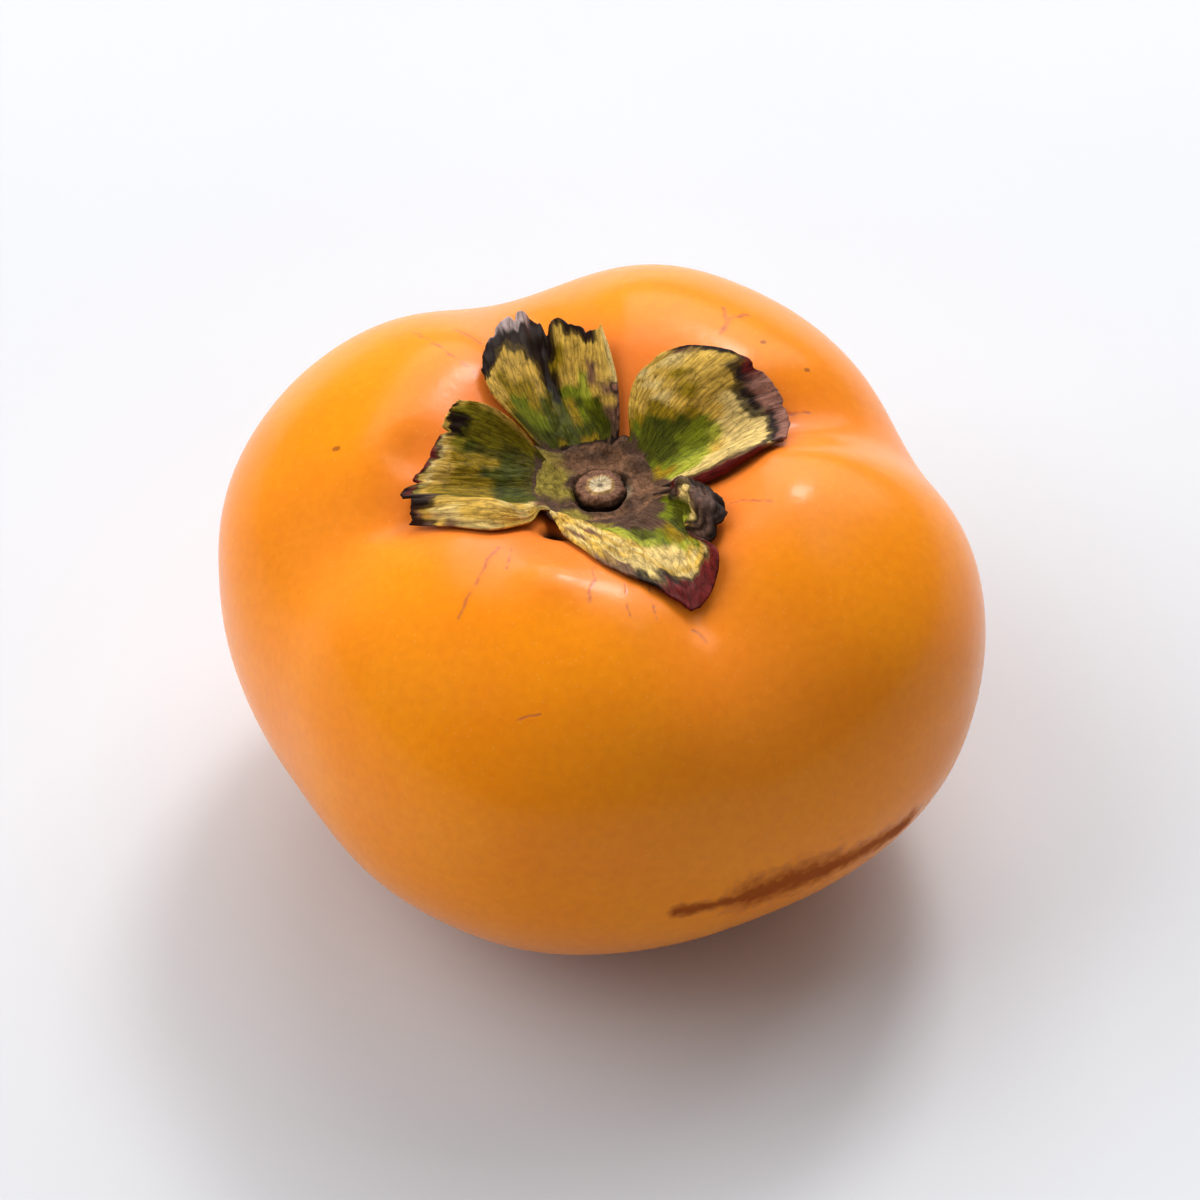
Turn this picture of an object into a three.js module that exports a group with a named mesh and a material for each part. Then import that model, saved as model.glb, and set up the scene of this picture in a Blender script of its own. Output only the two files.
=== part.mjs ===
// A whole persimmon: a squat, four-lobed fruit with a dried four-part calyx and a short cut stalk.
// Millimetres, +Z up along the fruit's axis. Azimuths are degrees from +X toward +Y.
import * as THREE from 'three';
import { mergeVertices } from 'three/addons/utils/BufferGeometryUtils.js';

// ---- Driving dimensions ----
const FRUIT = {
  flatRadius: 40.3, // axis to the flattest part of the side
  crownHeight: 25.8, // widest level up to the crown, before the basin is sunk into it
  baseHeight: 29.4, // widest level down to the blossom end, before the rest spot is cut
  crownPower: 2.52, // how full the upper shoulder is
  basePower: 2.31, // how full the lower side is
  planPower: 2.43, // how square the fruit looks from above
  planTurn: 25.5, // azimuth of one flat side
  oval: 0.03, // share by which the plan is longer along ovalTurn and shorter across it
  ovalTurn: 120.5,
};
const BASIN = { depth: 11, radius: 13.5 };
const FURROWS = [
  { azimuth: 18, depth: 3.8, spread: 14 },
  { azimuth: 104.5, depth: 4.2, spread: 16 },
  { azimuth: 197, depth: 3.0, spread: 16 },
  { azimuth: 298, depth: 3.0, spread: 16 },
];
const FURROW_TOP = 12; // a furrow dies out inside about this radius
const REST_LEVEL = -28.6; // height of the flat rest spot, from the widest level
const DIMPLE = { depth: 2.2, radius: 6 };
const GAP = 0.3; // clearance between pieces that lie on each other
const DISC = { radius: 6.7, thickness: 0.8 };
const STUB = { radius: 2.6, height: 1.7, centreX: 0.4 };
const STYLE = { radius: 1.1, length: 1.3 };
const SEPAL = { thickness: 0.6, rim: 0.035, along: 11, across: 22 };

// Each sepal is a sheet. One column runs from the disc to the margin, and a point is
// [azimuth, radius, height above the fruit's skin].
const SEPALS = {
  sepal_right: [
    [[348, 9.2, 0.7], [343, 12.4, 0.7], [350, 15.4, 0.7], [4, 19.7, 0.8]],
    [[351, 9.0, 1.0], [347, 11.9, 1.6], [353, 15.6, 1.7], [5, 20.1, 1.2]],
    [[1, 8.3, 0.7], [5, 11.6, 0.9], [12, 16.2, 1.2], [16, 21.3, 1.3]],
    [[16, 8.1, 0.7], [20, 11.6, 0.7], [24, 16.8, 1.0], [24, 21.8, 1.5]],
    [[27, 7.7, 0.7], [30, 11.3, 0.7], [32, 15.8, 0.7], [32, 21.3, 1.2]],
    [[39, 7.4, 0.7], [42, 10.8, 0.9], [41, 14.8, 1.5], [40, 19.8, 1.8]],
    [[50, 7.3, 0.7], [56, 10.2, 1.1], [54, 13.3, 1.7], [51, 17.8, 1.9]],
    [[60, 7.5, 0.8], [68, 10.1, 1.2], [68, 12.8, 1.6], [62, 15.4, 1.8]],
  ],
  sepal_back: [
    [[70, 7.7, 0.7], [75, 10.5, 0.9], [79, 13.0, 1.3], [86, 17.7, 2.6]],
    [[76, 7.5, 0.9], [84, 9.8, 1.5], [88, 12.5, 2.2], [89, 17.0, 3.2]],
    [[85, 7.3, 0.7], [93, 10.5, 0.8], [95, 14.3, 1.6], [94, 18.4, 3.4]],
    [[97, 7.3, 0.7], [101, 11.1, 0.8], [102, 15.2, 1.8], [100, 20.4, 3.8]],
    [[110, 7.3, 0.7], [110, 11.0, 0.7], [107, 16.0, 0.9], [104, 21.8, 2.2]],
    [[121, 7.4, 0.7], [119, 10.8, 0.9], [114, 16.0, 2.2], [110, 22.4, 4.0]],
    [[129, 7.6, 0.7], [128, 11.4, 0.9], [124, 15.6, 1.9], [120, 20.4, 3.4]],
    [[135, 8.0, 0.7], [134, 12.0, 0.9], [132, 15.4, 1.5], [129, 18.4, 2.2]],
    [[139, 8.7, 0.7], [139, 12.2, 0.8], [139, 14.6, 1.1], [135, 16.9, 1.4]],
  ],
  sepal_left: [
    [[145, 8.5, 1.6], [148, 10.3, 3.0], [153, 12.9, 3.8], [158, 15.4, 3.6]],
    [[150, 8.1, 0.9], [155, 10.3, 1.6], [161, 13.0, 2.2], [164, 16.2, 2.6]],
    [[158, 7.6, 0.7], [165, 9.9, 0.7], [169, 12.9, 0.7], [172, 16.8, 1.6]],
    [[172, 7.4, 0.7], [179, 10.0, 0.7], [182, 14.0, 0.7], [182, 18.2, 1.6]],
    [[188, 7.3, 0.7], [191, 10.5, 0.8], [189, 15.0, 1.0], [191, 20.9, 1.9]],
    [[211, 7.3, 1.3], [216, 10.4, 1.4], [207, 13.4, 2.2], [195, 19.7, 2.0]],
    [[217, 7.8, 0.7], [228, 11.0, 0.7], [222, 16.2, 0.7], [200, 20.7, 0.7]],
  ],
  sepal_front: [
    [[225, 7.2, 1.7], [231, 7.7, 1.5], [240, 8.7, 1.1], [248, 10.2, 0.7]],
    [[235, 7.2, 1.2], [243, 7.5, 2.3], [254, 9.4, 1.7], [263, 13.6, 0.7]],
    [[248, 7.2, 0.8], [259, 8.1, 2.0], [267, 12.0, 1.6], [271, 16.5, 0.7]],
    [[266, 7.3, 0.7], [276, 10.9, 1.5], [277, 14.8, 1.3], [279, 18.7, 0.7]],
    [[281, 7.4, 0.7], [286, 11.8, 1.5], [286, 16.0, 1.3], [285, 19.9, 0.7]],
    [[294, 7.6, 0.7], [295, 12.8, 1.7], [293, 17.7, 1.4], [291, 22.2, 0.8]],
    [[304, 7.8, 0.7], [302, 14.0, 1.6], [298, 19.4, 1.4], [295, 23.6, 0.9]],
    [[313, 8.0, 0.7], [307, 14.6, 1.2], [304, 18.5, 1.3], [302, 22.4, 1.5]],
    [[320, 8.1, 0.7], [311, 14.2, 0.9], [309, 17.3, 1.0], [308, 20.0, 1.4]],
    [[327, 8.2, 0.7], [316, 13.2, 0.9], [312, 15.2, 1.0], [309, 17.1, 1.1]],
    [[333, 8.3, 0.7], [321, 12.2, 1.5], [314, 15.6, 2.0], [312, 18.0, 1.2]],
    [[338, 8.4, 0.8], [329, 11.0, 1.9], [322, 14.3, 2.6], [322, 17.0, 1.4]],
    [[342, 8.7, 1.0], [338, 9.9, 1.9], [332, 12.2, 2.4], [328, 15.2, 1.6]],
  ],
};

const SKIN = new THREE.MeshStandardMaterial({ color: 0xf08a22, roughness: 0.4, metalness: 0 });
const DRIED_DISC = new THREE.MeshStandardMaterial({ color: 0x6b4e36, roughness: 0.85, metalness: 0 });
const DRIED_LEAF = new THREE.MeshStandardMaterial({
  color: 0x9a7f3a,
  roughness: 0.8,
  metalness: 0,
  side: THREE.DoubleSide,
});
const STALK = new THREE.MeshStandardMaterial({ color: 0x7c5842, roughness: 0.85, metalness: 0 });
const STYLE_DRY = new THREE.MeshStandardMaterial({ color: 0x3a2418, roughness: 0.9, metalness: 0 });

// ---- The fruit's outline ----
const radians = THREE.MathUtils.degToRad;

// Signed difference between two azimuths, in degrees, from -180 to 180.
function turnBetween(a, b) {
  return THREE.MathUtils.euclideanModulo(a - b + 180, 360) - 180;
}

function planRadius(azimuth) {
  const turn = radians(azimuth - FRUIT.planTurn);
  const square = Math.abs(Math.cos(turn)) ** FRUIT.planPower + Math.abs(Math.sin(turn)) ** FRUIT.planPower;
  const oval = 1 + FRUIT.oval * Math.cos(2 * radians(azimuth - FRUIT.ovalTurn));
  return (FRUIT.flatRadius * oval) / square ** (1 / FRUIT.planPower);
}

function furrowDepth(azimuth) {
  const depths = FURROWS.map((f) => f.depth * Math.exp(-((turnBetween(azimuth, f.azimuth) / f.spread) ** 2)));
  return depths.reduce((sum, depth) => sum + depth, 0);
}

// A furrow starts below the widest level, is whole near the crown, and dies out inside the basin.
function furrowShare(level, radius) {
  return THREE.MathUtils.smoothstep(level, -0.25, 1.05) * (1 - Math.exp(-((radius / FURROW_TOP) ** 4)));
}

// The flat rest spot with the blossom-end dimple in its middle.
function baseLevel(radius, level) {
  const inside = Math.max(1 - (radius / DIMPLE.radius) ** 2, 0);
  return Math.max(level, REST_LEVEL) + DIMPLE.depth * inside ** 2;
}

// Radius and height of the skin, at an angle down from the stem end, in the half plane of one azimuth.
function skinPoint(angle, azimuth) {
  const rise = Math.cos(angle);
  const out = Math.sin(angle);
  const half = rise < 0 ? FRUIT.baseHeight : FRUIT.crownHeight;
  const power = rise < 0 ? FRUIT.basePower : FRUIT.crownPower;
  const reach = planRadius(azimuth);
  const size = ((out / reach) ** power + (Math.abs(rise) / half) ** power) ** (-1 / power);
  const radius = size * out;
  const height = size * rise;
  const slopeOut = (radius / reach) ** (power - 1) / reach;
  const slopeUp = (Math.sign(height) * (Math.abs(height) / half) ** (power - 1)) / half;
  const sink = (furrowDepth(azimuth) * furrowShare(height / half, radius)) / Math.hypot(slopeOut, slopeUp);
  const r = radius - sink * slopeOut;
  const z = height - sink * slopeUp;
  if (rise < 0) return { r, z: baseLevel(r, z) };
  return { r, z: z - BASIN.depth * Math.exp(-((r / BASIN.radius) ** 2)) };
}

// Height of the upper skin at a radius and azimuth, found by halving the angle from the stem end.
function skinHeight(radius, azimuth) {
  let low = 0;
  let high = radians(75);
  for (let step = 0; step < 30; step++) {
    const middle = (low + high) / 2;
    if (skinPoint(middle, azimuth).r < radius) low = middle;
    else high = middle;
  }
  return skinPoint(low, azimuth).z;
}

// ---- Helpers for geometry ----
// Moves every vertex through a function, and joins the vertices that share a place.
function reshape(geometry, move) {
  const bare = geometry.clone();
  bare.deleteAttribute('normal');
  bare.deleteAttribute('uv');
  const position = bare.getAttribute('position');
  const point = new THREE.Vector3();
  for (let i = 0; i < position.count; i++) {
    move(point.fromBufferAttribute(position, i));
    position.setXYZ(i, point.x, point.y, point.z);
  }
  const joined = mergeVertices(bare, 1e-4);
  joined.computeVertexNormals();
  return joined;
}

// Lays a piece on the fruit: its own z is the height above the skin.
function drape(point) {
  const azimuth = THREE.MathUtils.radToDeg(Math.atan2(point.y, point.x));
  point.z += skinHeight(Math.hypot(point.x, point.y), azimuth);
}

// A turned piece that stands along +Z, its profile running from the axis at the bottom to the axis on top.
function turned(profile, sides) {
  const points = profile.map(([radius, height]) => new THREE.Vector2(radius, height));
  return new THREE.LatheGeometry(points, sides).rotateX(Math.PI / 2);
}

// ---- The pieces ----
function fruitGeometry() {
  return reshape(new THREE.SphereGeometry(1, 64, 46).rotateX(Math.PI / 2), (point) => {
    const azimuth = Math.atan2(point.y, point.x);
    const skin = skinPoint(Math.acos(THREE.MathUtils.clamp(point.z, -1, 1)), THREE.MathUtils.radToDeg(azimuth));
    point.set(skin.r * Math.cos(azimuth), skin.r * Math.sin(azimuth), skin.z);
  });
}

// A low disc that lines the bottom of the basin.
function discGeometry() {
  const top = GAP + DISC.thickness;
  const rings = [0.25, 0.5, 0.75, 0.9];
  const under = rings.map((share) => [DISC.radius * share, GAP]);
  const over = rings.map((share) => [DISC.radius * share, top]).reverse();
  const rim = [[DISC.radius, GAP], [DISC.radius, GAP + DISC.thickness * 0.6]];
  return reshape(turned([[0, GAP], ...under, ...rim, ...over, [0, top]], 36), drape);
}

function stubGeometry() {
  const foot = GAP + DISC.thickness + GAP;
  const r = STUB.radius;
  const profile = [
    [0, foot],
    [r * 0.55, foot],
    [r * 1.04, foot],
    [r, foot + STUB.height * 0.35],
    [r * 0.96, foot + STUB.height * 0.75],
    [r * 0.8, foot + STUB.height],
    [r * 0.42, foot + STUB.height * 0.97],
    [0, foot + STUB.height * 0.93],
  ];
  return reshape(turned(profile, 28).translate(STUB.centreX, 0, 0), drape);
}

// A sheet's middle surface at s along and t across, with every height still above the skin.
function sheetPoint(columns, s, t) {
  const row = columns.map((column) => column.getPoint(s));
  return new THREE.CatmullRomCurve3(row, false, 'catmullrom').getPoint(t);
}

function sepalColumns(table) {
  return table.map((column) => {
    const points = column.map(([azimuth, radius, height]) => {
      const turn = radians(azimuth);
      return new THREE.Vector3(radius * Math.cos(turn), radius * Math.sin(turn), height);
    });
    return new THREE.CatmullRomCurve3(points, false, 'catmullrom');
  });
}

// Even steps from 0 to 1, with one more line just inside each end, where the sheet thickens.
function sheetSteps(count) {
  const inner = Array.from({ length: count - 1 }, (_, i) => (i + 1) / count);
  return [0, SEPAL.rim, ...inner, 1 - SEPAL.rim, 1];
}

// A sheet of even thickness that closes to an edge all round.
function sepalGeometry(table) {
  const columns = sepalColumns(table);
  const along = sheetSteps(SEPAL.along);
  const across = sheetSteps(SEPAL.across);
  const lowest = GAP + SEPAL.thickness / 2;
  const middle = along.map((s) => across.map((t) => {
    const point = sheetPoint(columns, s, t);
    point.z = Math.max(point.z, lowest);
    drape(point);
    return point;
  }));
  const last = { s: along.length - 1, t: across.length - 1 };
  const normalAt = (i, j) => {
    const alongStep = middle[Math.min(i + 1, last.s)][j].clone().sub(middle[Math.max(i - 1, 0)][j]);
    const acrossStep = middle[i][Math.min(j + 1, last.t)].clone().sub(middle[i][Math.max(j - 1, 0)]);
    return alongStep.cross(acrossStep).normalize();
  };
  const isRim = (i, j) => i === 0 || j === 0 || i === last.s || j === last.t;
  const vertices = [];
  for (const side of [1, -1]) {
    for (let i = 0; i <= last.s; i++) {
      for (let j = 0; j <= last.t; j++) {
        const offset = isRim(i, j) ? 0 : (side * SEPAL.thickness) / 2;
        vertices.push(...middle[i][j].clone().addScaledVector(normalAt(i, j), offset));
      }
    }
  }
  const wide = last.t + 1;
  const under = wide * (last.s + 1);
  const faces = [];
  for (let i = 0; i < last.s; i++) {
    for (let j = 0; j < last.t; j++) {
      const a = i * wide + j;
      const [b, c, d] = [a + wide, a + wide + 1, a + 1];
      faces.push(a, b, c, a, c, d);
      faces.push(under + a, under + c, under + b, under + a, under + d, under + c);
    }
  }
  const geometry = new THREE.BufferGeometry();
  geometry.setAttribute('position', new THREE.Float32BufferAttribute(vertices, 3));
  geometry.setIndex(faces);
  return mergeVertices(geometry, 1e-4);
}

// The dry tip hangs under the dimple and stays clear of the surface below.
function styleGeometry() {
  const roof = REST_LEVEL + DIMPLE.depth - GAP;
  const profile = [
    [0, roof - STYLE.length],
    [STYLE.radius * 0.45, roof - STYLE.length * 0.9],
    [STYLE.radius * 0.75, roof - STYLE.length * 0.4],
    [STYLE.radius, roof - STYLE.length * 0.15],
    [STYLE.radius * 0.8, roof - 0.12],
    [0, roof],
  ];
  return reshape(turned(profile, 14), () => {});
}

// ---- Assembly ----
function piece(name, geometry, material) {
  const mesh = new THREE.Mesh(geometry, material);
  mesh.name = name;
  return mesh;
}

const persimmon = new THREE.Group();
persimmon.add(piece('fruit_body', fruitGeometry(), SKIN));
persimmon.add(piece('calyx_disc', discGeometry(), DRIED_DISC));
for (const [name, table] of Object.entries(SEPALS)) {
  persimmon.add(piece(name, sepalGeometry(table), DRIED_LEAF));
}
persimmon.add(piece('stem_stub', stubGeometry(), STALK));
persimmon.add(piece('style_remnant', styleGeometry(), STYLE_DRY));

// The origin is the middle of the fruit's box, on the surface it rests on.
const extent = new THREE.Box3().setFromObject(persimmon);
const centre = extent.getCenter(new THREE.Vector3());
for (const mesh of persimmon.children) {
  mesh.position.set(-centre.x, -centre.y, -extent.min.z);
}

export default persimmon;
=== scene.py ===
"""A whole persimmon with its dried calyx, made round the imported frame.

Metres, +Z up along the fruit's axis, -Y toward the viewer. Shapes are worked out in millimetres round that
axis, with height 0 at the widest level, and put in their place when a piece is finished.
Azimuths are degrees from +X toward +Y.
"""

import math

import bmesh
import bpy
import numpy as np
from mathutils import Matrix, Vector, noise


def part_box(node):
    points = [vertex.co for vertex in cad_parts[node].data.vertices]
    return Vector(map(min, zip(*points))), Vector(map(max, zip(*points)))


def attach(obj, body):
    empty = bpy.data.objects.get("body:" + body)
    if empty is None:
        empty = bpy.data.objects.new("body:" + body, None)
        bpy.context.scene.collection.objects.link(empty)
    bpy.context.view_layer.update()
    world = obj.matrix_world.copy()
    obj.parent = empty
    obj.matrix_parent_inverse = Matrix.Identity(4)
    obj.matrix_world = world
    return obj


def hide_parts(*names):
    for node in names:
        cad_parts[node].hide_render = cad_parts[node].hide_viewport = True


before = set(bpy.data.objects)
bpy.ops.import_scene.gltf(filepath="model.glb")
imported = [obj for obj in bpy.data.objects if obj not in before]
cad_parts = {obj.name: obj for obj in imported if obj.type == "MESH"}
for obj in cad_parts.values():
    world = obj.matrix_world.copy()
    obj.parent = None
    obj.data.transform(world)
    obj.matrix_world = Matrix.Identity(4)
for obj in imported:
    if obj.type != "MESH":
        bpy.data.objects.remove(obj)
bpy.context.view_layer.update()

MM = 0.001

# ---- The fruit's outline, in millimetres: the curves that the frame's solid was made with ----
FLAT_RADIUS = 40.3
CROWN_HEIGHT, CROWN_POWER = 25.8, 2.52
BASE_HEIGHT, BASE_POWER = 29.4, 2.31
PLAN_POWER, PLAN_TURN = 2.43, 25.5
OVAL_SHARE, OVAL_TURN = 0.03, 120.5
BASIN_DEPTH, BASIN_RADIUS = 11, 13.5
FURROWS = ((18, 3.8, 14), (104.5, 4.2, 16), (197, 3.0, 16), (298, 3.0, 16))  # azimuth, depth, spread
FURROW_TOP = 12
REST_LEVEL = -28.6
DIMPLE_DEPTH, DIMPLE_RADIUS = 2.2, 6
GAP = 0.3

# ---- The calyx, in millimetres ----
DISC_RADIUS, DISC_THICKNESS = 6.8, 0.8
DISC_TOP = GAP + DISC_THICKNESS
SINUSES = ((65, 0.5, 7), (142, 1.5, 6), (346, 1.5, 6))  # azimuth, reach past the disc, spread
STUB_CENTRE, STUB_RADIUS, STUB_HEIGHT = 0.4, 2.7, 1.9
STYLE_RADIUS, STYLE_LENGTH = 1.1, 1.3
SEPAL_THICKNESS = 0.32
ROOT_RADIUS, ROOT_HEIGHT = 5.6, 0.72  # a sepal starts inside the disc
SHEET_WIDE, SHEET_LONG, MARGIN_LONG = 22, 15, 26  # a typical sepal laid flat
MARGIN_SPARE = 0.045  # the share of its length that makes up for what the ragged margin takes off
DISC_MAP_RADIUS = 8.5  # where the disc's map of tissues ends
STUB_ROUND, STYLE_ROUND = 17, 7  # the way round the stalk and round the blossom tip

# One column runs from the disc to the margin; a point is (azimuth, radius, height above the skin).
RIGHT_SEPAL = (
    ((348, 9.2, 0.7), (343, 12.4, 0.7), (350, 15.4, 0.7), (4, 19.7, 0.8)),
    ((351, 9.0, 1.0), (347, 11.9, 1.6), (353, 15.6, 1.7), (5, 20.1, 1.2)),
    ((1, 8.3, 0.7), (5, 11.6, 0.9), (12, 16.2, 1.2), (16, 21.3, 1.3)),
    ((16, 8.1, 0.7), (20, 11.6, 0.7), (24, 16.8, 1.0), (24, 21.8, 1.5)),
    ((27, 7.7, 0.7), (30, 11.3, 0.7), (32, 15.8, 0.7), (32, 21.3, 1.2)),
    ((39, 7.4, 0.7), (42, 10.8, 0.9), (41, 14.8, 1.5), (40, 19.8, 1.8)),
    ((50, 7.3, 0.7), (56, 10.2, 1.1), (54, 13.3, 1.7), (51, 17.8, 1.9)),
    ((60, 7.5, 0.8), (68, 10.1, 1.2), (68, 12.8, 1.6), (62, 15.4, 1.8)),
)
BACK_SEPAL = (
    ((70, 7.7, 0.7), (75, 10.5, 0.9), (79, 13.0, 1.3), (86, 17.7, 2.6)),
    ((76, 7.5, 0.9), (84, 9.8, 1.5), (88, 12.5, 2.2), (89, 17.0, 3.2)),
    ((85, 7.3, 0.7), (93, 10.5, 0.8), (95, 14.3, 1.6), (94, 18.4, 3.4)),
    ((97, 7.3, 0.7), (101, 11.1, 0.8), (102, 15.4, 1.9), (100, 21.0, 3.9)),
    ((110, 7.3, 0.7), (110, 11.0, 0.7), (107, 16.2, 0.9), (104, 22.6, 2.4)),
    ((121, 7.4, 0.7), (119, 10.8, 0.9), (114, 16.3, 2.3), (110, 23.0, 4.3)),
    ((129, 7.6, 0.7), (128, 11.4, 0.9), (124, 15.6, 1.9), (120, 20.4, 3.4)),
    ((135, 8.0, 0.7), (134, 12.0, 0.9), (132, 15.4, 1.5), (129, 18.4, 2.2)),
    ((139, 8.7, 0.7), (139, 12.2, 0.8), (139, 14.6, 1.1), (135, 16.9, 1.4)),
)
LEFT_SEPAL = (
    ((145, 8.5, 1.6), (148, 10.3, 3.0), (153, 12.9, 3.8), (158, 15.4, 3.6)),
    ((150, 8.1, 0.9), (155, 10.3, 1.6), (161, 13.0, 2.2), (164, 16.2, 2.6)),
    ((158, 7.6, 0.7), (165, 9.9, 0.7), (169, 12.9, 0.7), (172, 16.8, 1.6)),
    ((172, 7.4, 0.7), (179, 10.0, 0.7), (182, 14.0, 0.7), (182, 18.2, 1.3)),
    ((188, 7.3, 0.7), (191, 10.5, 0.7), (190, 15.0, 0.8), (191, 20.9, 1.7)),
    ((211, 7.4, 1.6), (219, 10.9, 2.2), (210, 13.9, 3.2), (197, 20.0, 2.7)),
    ((217, 7.8, 1.2), (228, 11.2, 0.8), (222, 16.3, 0.6), (201, 20.8, 0.7)),
)
FRONT_SEPAL = (
    ((225, 7.2, 1.7), (231, 7.7, 1.5), (240, 8.7, 1.1), (248, 10.2, 0.7)),
    ((235, 7.2, 1.2), (243, 7.5, 2.3), (254, 9.4, 1.7), (263, 13.6, 0.7)),
    ((248, 7.2, 0.8), (259, 8.1, 2.0), (267, 12.0, 1.6), (271, 16.5, 0.7)),
    ((266, 7.3, 0.7), (276, 10.9, 1.5), (277, 14.8, 1.3), (279, 18.7, 0.7)),
    ((281, 7.4, 0.7), (286, 11.8, 1.5), (286, 16.0, 1.3), (285, 19.9, 0.7)),
    ((294, 7.6, 0.7), (295, 12.8, 1.7), (293, 17.7, 1.4), (291, 22.2, 0.8)),
    ((304, 7.8, 0.7), (302, 14.0, 1.6), (298, 19.4, 1.4), (295, 23.6, 0.9)),
    ((313, 8.0, 0.7), (307, 14.6, 1.2), (304, 18.5, 1.3), (302, 22.4, 1.5)),
    ((320, 8.1, 0.7), (311, 14.2, 0.9), (309, 17.2, 1.1), (308.5, 19.9, 1.9)),
    ((327, 8.2, 0.7), (317, 12.4, 0.9), (313, 13.9, 1.0), (310, 15.2, 1.1)),
    ((333, 8.3, 0.7), (321, 12.2, 1.5), (314, 15.6, 2.0), (312, 18.0, 1.2)),
    ((338, 8.4, 1.0), (329, 11.0, 2.2), (322, 14.3, 3.0), (322, 17.2, 1.5)),
    ((343, 8.3, 1.5), (340, 9.4, 3.1), (333, 12.0, 2.7), (328, 15.2, 1.7)),
)

# Dried tissue by letter: each is a colour that the calyx shows somewhere. Dark green and dark olive also stand
# for painted shade in the sepals' valleys and troughs and behind their folds.
TISSUES = {
    "g": "#6c7210",  # green
    "l": "#9c9c30",  # pale green
    "d": "#444606",  # dark green, partly painted shade in valleys and troughs
    "o": "#524a08",  # dark olive, partly painted shade behind folds and crests
    "h": "#7d7010",  # olive
    "e": "#8c7a30",  # dull olive
    "y": "#8c7010",  # yellow olive
    "s": "#c49c42",  # straw
    "c": "#d0b26c",  # cream
    "k": "#74523b",  # brown
    "n": "#533b2d",  # dark brown
    "p": "#885a4a",  # brown pink
    "m": "#621a17",  # maroon
    "r": "#a5908c",  # papery grey
    "u": "#5c443a",  # scorched brown
    "b": "#24150e",  # burnt black
    "f": "#c9ae8c",  # pale flake
}
BURNT = "mpbru"  # these tissues have a scorched line round them

# Each row of a map is (how far along from the disc to the margin, the tissues across it).
# The dark green in the middle columns is partly painted shade in the sepal's central valley.
RIGHT_TISSUE = (
    (0.00, "nnnnnnnnnnnn"),
    (0.17, "bbnnyygdnnnn"),
    (0.25, "mmclygddddnd"),
    (0.36, "mmcllgddddgy"),
    (0.46, "mmcllggdddys"),
    (0.54, "mmcclggdyyss"),
    (0.62, "mmccslgyscss"),
    (0.70, "mmccccssyscs"),
    (0.79, "mmcccccssysc"),
    (0.87, "mmcccbbssscs"),
    (0.92, "mcbbbppbsscs"),
    (0.97, "bbpppppmssks"),
    (1.00, "bppppppmbbbs"),
)
BACK_TISSUE = (
    (0.00, "nnnnnnnnnnnnnn"),
    (0.17, "bbnbbbnbbnnnnn"),
    (0.22, "bnddyyddyddnno"),
    (0.32, "knddddddddddoy"),
    (0.43, "pkddgydddgggdy"),
    (0.54, "ksdgdydodyggys"),
    (0.64, "pkslggbosyyyss"),
    (0.73, "csklssbbsssyss"),
    (0.81, "cskssyybbsssss"),
    (0.87, "cssssybbbbsbbs"),
    (0.92, "csssssbbbbbbbb"),
    (0.96, "csbbbsbbrrbbbb"),
    (1.00, "ssbbbbbbrrrbbb"),
)
# The dark green and dark olive in the column three quarters across are painted shade behind the crest of the
# rolled near margin.
LEFT_TISSUE = (
    (0.00, "nnnnnnnnnnnnn"),
    (0.17, "oonnnnnnnnkcc"),
    (0.25, "shhoooooodkcs"),
    (0.38, "shhooddoddcss"),
    (0.50, "shhoddddddscs"),
    (0.62, "shhhoydyydcss"),
    (0.72, "shhhoyyyydssc"),
    (0.80, "shhhdyyyyossc"),
    (0.86, "yhbohyssyosck"),
    (0.90, "yhbbhssssoscs"),
    (0.94, "shbbscsceubsu"),
    (0.97, "sybscmcsmbbkb"),
    (1.00, "sbssmmmmbbbbb"),
)
FRONT_TISSUE = (
    (0.00, "nnnnnnnnnnnnn"),
    (0.17, "cknnnnnnnnnku"),
    (0.25, "ckgllnnnnngku"),
    (0.34, "ccslldnnggdum"),
    (0.42, "csclldgydddku"),
    (0.50, "csssllgydddcu"),
    (0.58, "ssccscclyldcu"),
    (0.66, "sskscccslgcub"),
    (0.72, "scscscscgubub"),
    (0.77, "sccscscsssuub"),
    (0.84, "sksccbmmcbbub"),
    (0.90, "scskcmmmmbubb"),
    (1.00, "kskkbmmmmbbbb"),
)
# On the disc the tissues go round from +X, and the rows go from the stalk to the edge. The burnt black near the
# edge at the back is partly painted shade, where the back sepal meets the disc.
DISC_TISSUE = (
    (0.00, "nnnnnnnnnnnnn"),
    (0.38, "fnkkknennnnkf"),
    (0.50, "kkkkkeenekknk"),
    (0.62, "knknkeenennnk"),
    (0.74, "knnkneenkenkk"),
    (0.80, "fknbnnennennf"),
    (0.88, "fkbbbnnnnnfnf"),
    (1.00, "nnbnnnnnnnnnn"),
)
TEARS = {  # (across, half width, depth as a share of the length)
    "right": ((0.62, 0.02, 0.02), (0.4, 0.015, 0.015)),
    "back": ((0.2, 0.02, 0.03), (0.47, 0.02, 0.06), (0.66, 0.015, 0.05), (0.78, 0.02, 0.03)),
    "left": ((0.28, 0.02, 0.06), (0.6, 0.02, 0.06), (0.76, 0.02, 0.07)),
    "front": ((0.69, 0.012, 0.05), (0.75, 0.02, 0.12), (0.87, 0.012, 0.06)),
}

# Swellings and hollows of the skin beside the calyx: (x, y, spread, height). The frame's solid is smooth
# there, and the sepals lie on this skin.
PUCKERS = (
    (-5, -19.6, 3.8, 1.1),
    (4, -21, 5, 0.35),
    (21, -8, 5, 0.7),
    (-19.5, 14, 5, 0.1),
    (-19.4, 1.5, 3.4, -1.4),
    (-21.5, -7, 4, -0.7),
    (10.5, -23, 2.2, -0.4),
    (-6, 21, 5, -0.8),
)
PITS = ((-4.6, -7.1, 2.0, -1.9),)  # the same, for a hollow that the sepals don't follow

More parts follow.
